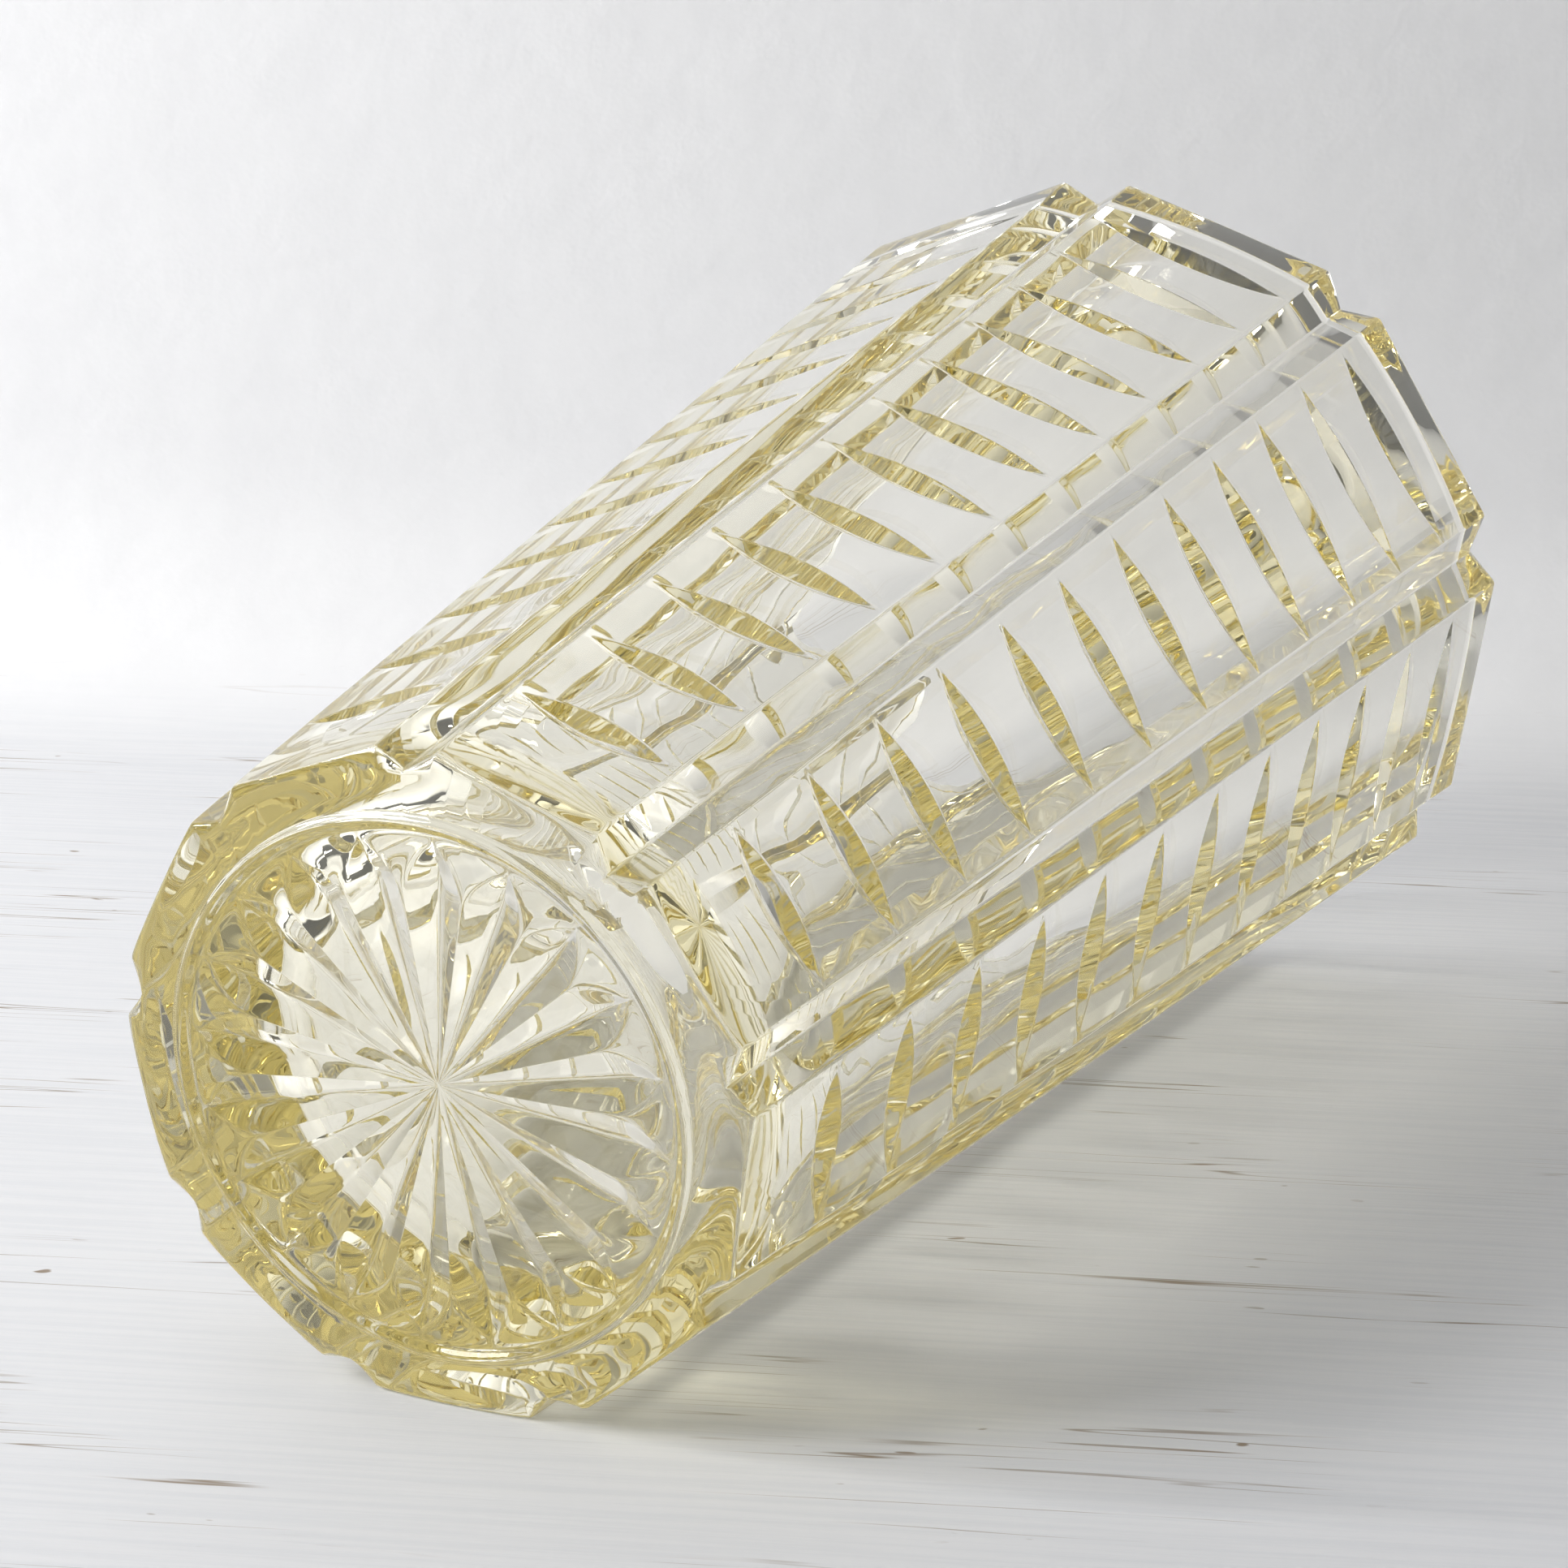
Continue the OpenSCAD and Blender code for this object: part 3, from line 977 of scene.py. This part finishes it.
@dataclass
class Studio:
    """The white table that the vase lies on, the wall behind it, and the lamps.

    The vase is drawn upright, so the table leans against one of its panels instead. gap
    is the clear space between them. reach is how far the boards and the wall go to each
    side of the middle, to the front of the wall, and up.
    """

    rest_panel: float = 130.0
    rest_apothem: float = 40.0
    lean: float = math.radians(6.226)
    gap: float = 0.15
    camera_at: tuple[float, float, float] = (264.8, 1.6, -321.7)
    camera_right: tuple[float, float, float] = (0.66942, 0.60847, 0.42620)
    camera_up: tuple[float, float, float] = (0.52113, -0.79349, 0.31432)
    lens: float = 83.4
    wall_away: float = 749.0
    wall_turn: float = math.radians(6.5)
    cove: float = 60.0
    reach: tuple[float, float, float] = (2000.0, 1500.0, 2500.0)
    room_light: float = 0.14
    bounces: int = 96
    clear_bounces: int = 16

    def down(self) -> np.ndarray:
        """Direction out of the resting panel, which is down on the table."""
        turn = math.radians(self.rest_panel)
        flat = math.cos(self.lean)
        return np.array([flat * math.cos(turn), flat * math.sin(turn), -math.sin(self.lean)])

    def axes(self) -> tuple[np.ndarray, np.ndarray, np.ndarray, np.ndarray]:
        """The table's own frame.

        Returns:
            The point of the table under the camera, then the directions right, away and up.
        """
        down = self.down()
        at = np.array(self.camera_at)
        under = at + down * (self.rest_apothem * math.cos(self.lean) + self.gap - at @ down)
        right = np.array(self.camera_right)
        right = right - down * (right @ down)
        right /= np.linalg.norm(right)
        up = -down
        away = np.cross(up, right)
        return under, right, away, up

    def room(self) -> tuple[np.ndarray, np.ndarray]:
        """The boards and the wall as one bent strip.

        Formula: the strip's section is a straight run toward the wall, a quarter circle, and
        a straight run up. It is swept along the wall, which stands turned from the camera.

        Returns:
            Points (rows, 2, 3) in millimetres, and the length along the section of each row.
        """
        under, right, away, up = self.axes()
        c, s = math.cos(self.wall_turn), math.sin(self.wall_turn)
        along, toward = c * right - s * away, -(s * right + c * away)
        side, front, top = self.reach
        bend = np.linspace(0, math.pi / 2, 17)
        near = np.concatenate([[front], self.cove * (1 - np.sin(bend)), [0.0]])
        high = np.concatenate([[0.0], self.cove * (1 - np.cos(bend)), [top]])
        length = np.concatenate([[0], np.cumsum(np.hypot(np.diff(near), np.diff(high)))])
        row = (under + self.wall_away * away + near[:, None] * toward + high[:, None] * up)
        return np.stack([row - side * along, row + side * along], axis=1), length

    def build(self) -> None:
        """Builds the boards and the wall behind them."""
        rows, length = self.room()
        count = len(rows)
        k = np.arange(count - 1) * 2
        faces = np.stack([k, k + 1, k + 3, k + 2], axis=1)
        mesh = bpy.data.meshes.new("boards_and_wall")
        mesh.from_pydata((rows.reshape(-1, 3) * MM).tolist(), [], faces.tolist())
        place = np.stack([np.tile([0.0, 2 * self.reach[0]], count), np.repeat(length, 2)], axis=1)
        uv = mesh.uv_layers.new(name="lengths")
        uv.data.foreach_set("uv", (place[faces.reshape(-1)] * MM).astype(np.float32).reshape(-1))
        mesh.polygons.foreach_set("use_smooth", np.ones(len(faces), dtype=bool))
        obj = bpy.data.objects.new("boards_and_wall", mesh)
        bpy.context.scene.collection.objects.link(obj)
        seam = (self.reach[1] - 0.5 * self.cove) * MM
        mesh.materials.append(RoomPaint(seam=seam).material())

    def camera(self) -> None:
        """Sets up the camera, which looks along the table at the foot and one side."""
        right, up = np.array(self.camera_right), np.array(self.camera_up)
        back = np.cross(right, up)
        data = bpy.data.cameras.new("camera")
        data.lens = self.lens
        data.clip_start = 0.01
        data.clip_end = 20.0
        obj = bpy.data.objects.new("camera", data)
        rows = np.stack([right, up, back], axis=1)
        turn = Matrix([list(map(float, r)) for r in rows]).to_4x4()
        obj.matrix_world = Matrix.Translation(Vector([c * MM for c in self.camera_at])) @ turn
        bpy.context.scene.collection.objects.link(obj)
        bpy.context.scene.camera = obj

    def lamp(self, kind: Lamp, place: tuple[float, float, float], aim: tuple[float, float, float],
             size: tuple[float, float], power: float,
             colour: tuple[float, float, float]) -> None:
        """Hangs one soft lamp.

        Args:
            kind: Which lamp it is.
            place: Where it hangs, right of, away from and above the camera's foot, in mm.
            aim: What it points at, in the same way.
            size: Width and height in millimetres.
            power: Watts.
            colour: Its light.
        """
        under, right, away, up = self.axes()
        frame_of = np.stack([right, away, up], axis=1)
        at = under + frame_of @ np.array(place)
        to = under + frame_of @ np.array(aim)
        data = bpy.data.lights.new(kind.value, "AREA")
        data.shape = "RECTANGLE"
        data.size, data.size_y = size[0] * MM, size[1] * MM
        data.energy = power
        data.color = colour
        obj = bpy.data.objects.new(kind.value, data)
        back = (at - to) / np.linalg.norm(at - to)
        level = np.cross(up, back)
        level /= np.linalg.norm(level)
        rows = np.stack([level, np.cross(back, level), back], axis=1)
        obj.matrix_world = (Matrix.Translation(Vector((at * MM).tolist()))
                            @ Matrix([list(map(float, r)) for r in rows]).to_4x4())
        bpy.context.scene.collection.objects.link(obj)

    def light(self) -> None:
        """Hangs the lamps and sets the pale surroundings."""
        self.lamp(Lamp.WINDOW, (-800, 150, 570), (-100, 520, 90), (400, 400), 6.8, (1.0, 0.995, 0.985))
        self.lamp(Lamp.SUN, (-1000, 480, 760), (0, 500, 60), (50, 600), 4.9, (1.0, 0.99, 0.97))
        self.lamp(Lamp.SKY, (-200, 450, 1200), (0, 700, 300), (900, 500), 1.3, (0.97, 0.98, 1.0))
        world = bpy.data.worlds.new("pale_room")
        world.use_nodes = True
        ground = world.node_tree.nodes["Background"]
        ground.inputs["Color"].default_value = (0.97, 0.98, 1.0, 1)
        ground.inputs["Strength"].default_value = self.room_light
        bpy.context.scene.world = world

    def look(self) -> None:
        """Sets how light is traced through the glass and shown."""
        scene = bpy.context.scene
        scene.view_settings.view_transform = "Standard"
        scene.view_settings.look = "None"
        scene.cycles.max_bounces = self.bounces
        scene.cycles.transmission_bounces = self.bounces
        scene.cycles.glossy_bounces = self.bounces
        scene.cycles.transparent_max_bounces = self.clear_bounces
        scene.cycles.caustics_refractive = True
        scene.cycles.caustics_reflective = True


def main() -> None:
    """Builds the vase and its studio, and reports each piece."""
    logging.basicConfig(level=logging.INFO, format="%(name)s: %(message)s")
    vase = Vase()
    glass = vase.build()
    vase.dress(glass)
    log.info("%s: %d faces", glass.name, len(glass.data.polygons))
    studio = Studio()
    studio.build()
    studio.camera()
    studio.light()
    studio.look()
    log.info("studio: table, wall, camera and lamps")


if __name__ == "__main__":
    main()
